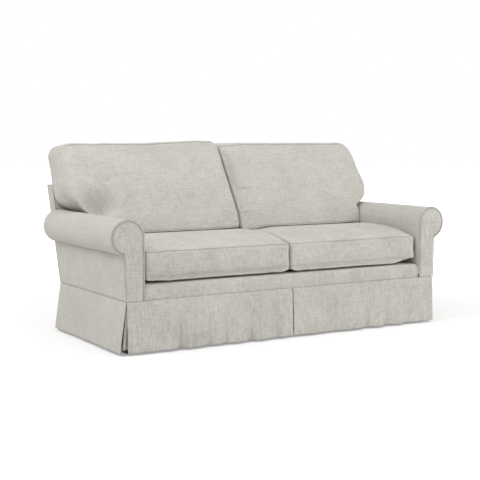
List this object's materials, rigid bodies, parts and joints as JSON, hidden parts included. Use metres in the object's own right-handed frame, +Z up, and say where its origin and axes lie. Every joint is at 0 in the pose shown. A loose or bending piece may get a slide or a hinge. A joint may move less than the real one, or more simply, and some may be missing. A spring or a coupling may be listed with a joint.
{
  "type": "two-seat roll-arm sofa",
  "caption": "Roll-arm sofa with a kick-pleat skirt, boxed seat cushions that pull out and back cushions whose ears rest over the arms.",
  "frame": {"origin": "middle of the floor area under the sofa, halfway along its width and its depth", "axes": "+X to the right of the seat seen from the front, +Y from the front to the back, +Z up"},
  "size_m": [1.956, 0.9891, 0.968],
  "materials": {
    "cover_linen": "matte",
    "welt_linen": "matte",
    "pleat_linen": "matte",
    "frame_wood": "satin",
    "board_wood": "matte",
    "spring_steel": "satin",
    "bolt_steel": "satin",
    "webbing": "matte",
    "padding": "matte",
    "filling": "matte",
    "lining": "matte",
    "platform_cloth": "matte",
    "foot_black": "satin",
    "glide_nylon": "matte"
  },
  "bodies": {
    "frame": {"front_seat_rail": "frame_wood", "rear_seat_rail": "frame_wood", "seat_brace": "frame_wood", "back_top_rail": "frame_wood", "back_tack_rail": "frame_wood", "back_upright": "frame_wood", "corner_blocks": "frame_wood", "right_side_seat_rail": "frame_wood", "left_side_seat_rail": "frame_wood", "right_front_post": "frame_wood", "left_front_post": "frame_wood", "right_rear_post": "frame_wood", "left_rear_post": "frame_wood", "right_arm_rail": "frame_wood", "left_arm_rail": "frame_wood", "right_scroll_board": "board_wood", "left_scroll_board": "board_wood", "lag_bolts": "bolt_steel", "seat_springs": "spring_steel", "spring_clips": "spring_steel", "back_webbing": "webbing", "deck_pad": "padding", "back_pad": "padding", "right_arm_pad": "padding", "left_arm_pad": "padding", "deck_cloth": "platform_cloth", "dust_cover": "lining", "front_border": "cover_linen", "inside_back": "cover_linen", "outside_back": "cover_linen", "back_top_border": "cover_linen", "back_side_borders": "cover_linen", "back_skirt": "cover_linen", "right_arm_cover": "cover_linen", "left_arm_cover": "cover_linen", "right_arm_facing": "cover_linen", "left_arm_facing": "cover_linen", "right_outside_arm": "cover_linen", "left_outside_arm": "cover_linen", "right_front_skirt": "cover_linen", "left_front_skirt": "cover_linen", "right_side_skirt": "cover_linen", "left_side_skirt": "cover_linen", "facing_welts": "welt_linen", "centre_pleat": "pleat_linen", "corner_pleats": "pleat_linen", "right_front_foot": "foot_black", "left_front_foot": "foot_black", "right_rear_foot": "foot_black", "left_rear_foot": "foot_black", "centre_leg": "foot_black", "foot_glides": "glide_nylon"},
    "right_seat_cushion": {"right_seat_cushion_cover": "cover_linen", "right_seat_cushion_filling": "filling"},
    "left_seat_cushion": {"left_seat_cushion_cover": "cover_linen", "left_seat_cushion_filling": "filling"},
    "right_back_cushion": {"right_back_cushion_cover": "cover_linen", "right_back_cushion_filling": "filling"},
    "left_back_cushion": {"left_back_cushion_cover": "cover_linen", "left_back_cushion_filling": "filling"}
  },
  "joints": [
    {"name": "right_seat_cushion_pull", "type": "slide", "parent": "frame", "child": "right_seat_cushion", "axis": [0, -0.9998, 0.0209], "range_m": [0, 0.74]},
    {"name": "left_seat_cushion_pull", "type": "slide", "parent": "frame", "child": "left_seat_cushion", "axis": [0, -0.9998, 0.0209], "range_m": [0, 0.74]},
    {"name": "right_back_cushion_lift", "type": "slide", "parent": "frame", "child": "right_back_cushion", "axis": [0, 0.3173, 0.9483], "range_m": [0, 0.36]},
    {"name": "left_back_cushion_lift", "type": "slide", "parent": "frame", "child": "left_back_cushion", "axis": [0, 0.3173, 0.9483], "range_m": [0, 0.36]}
  ]
}
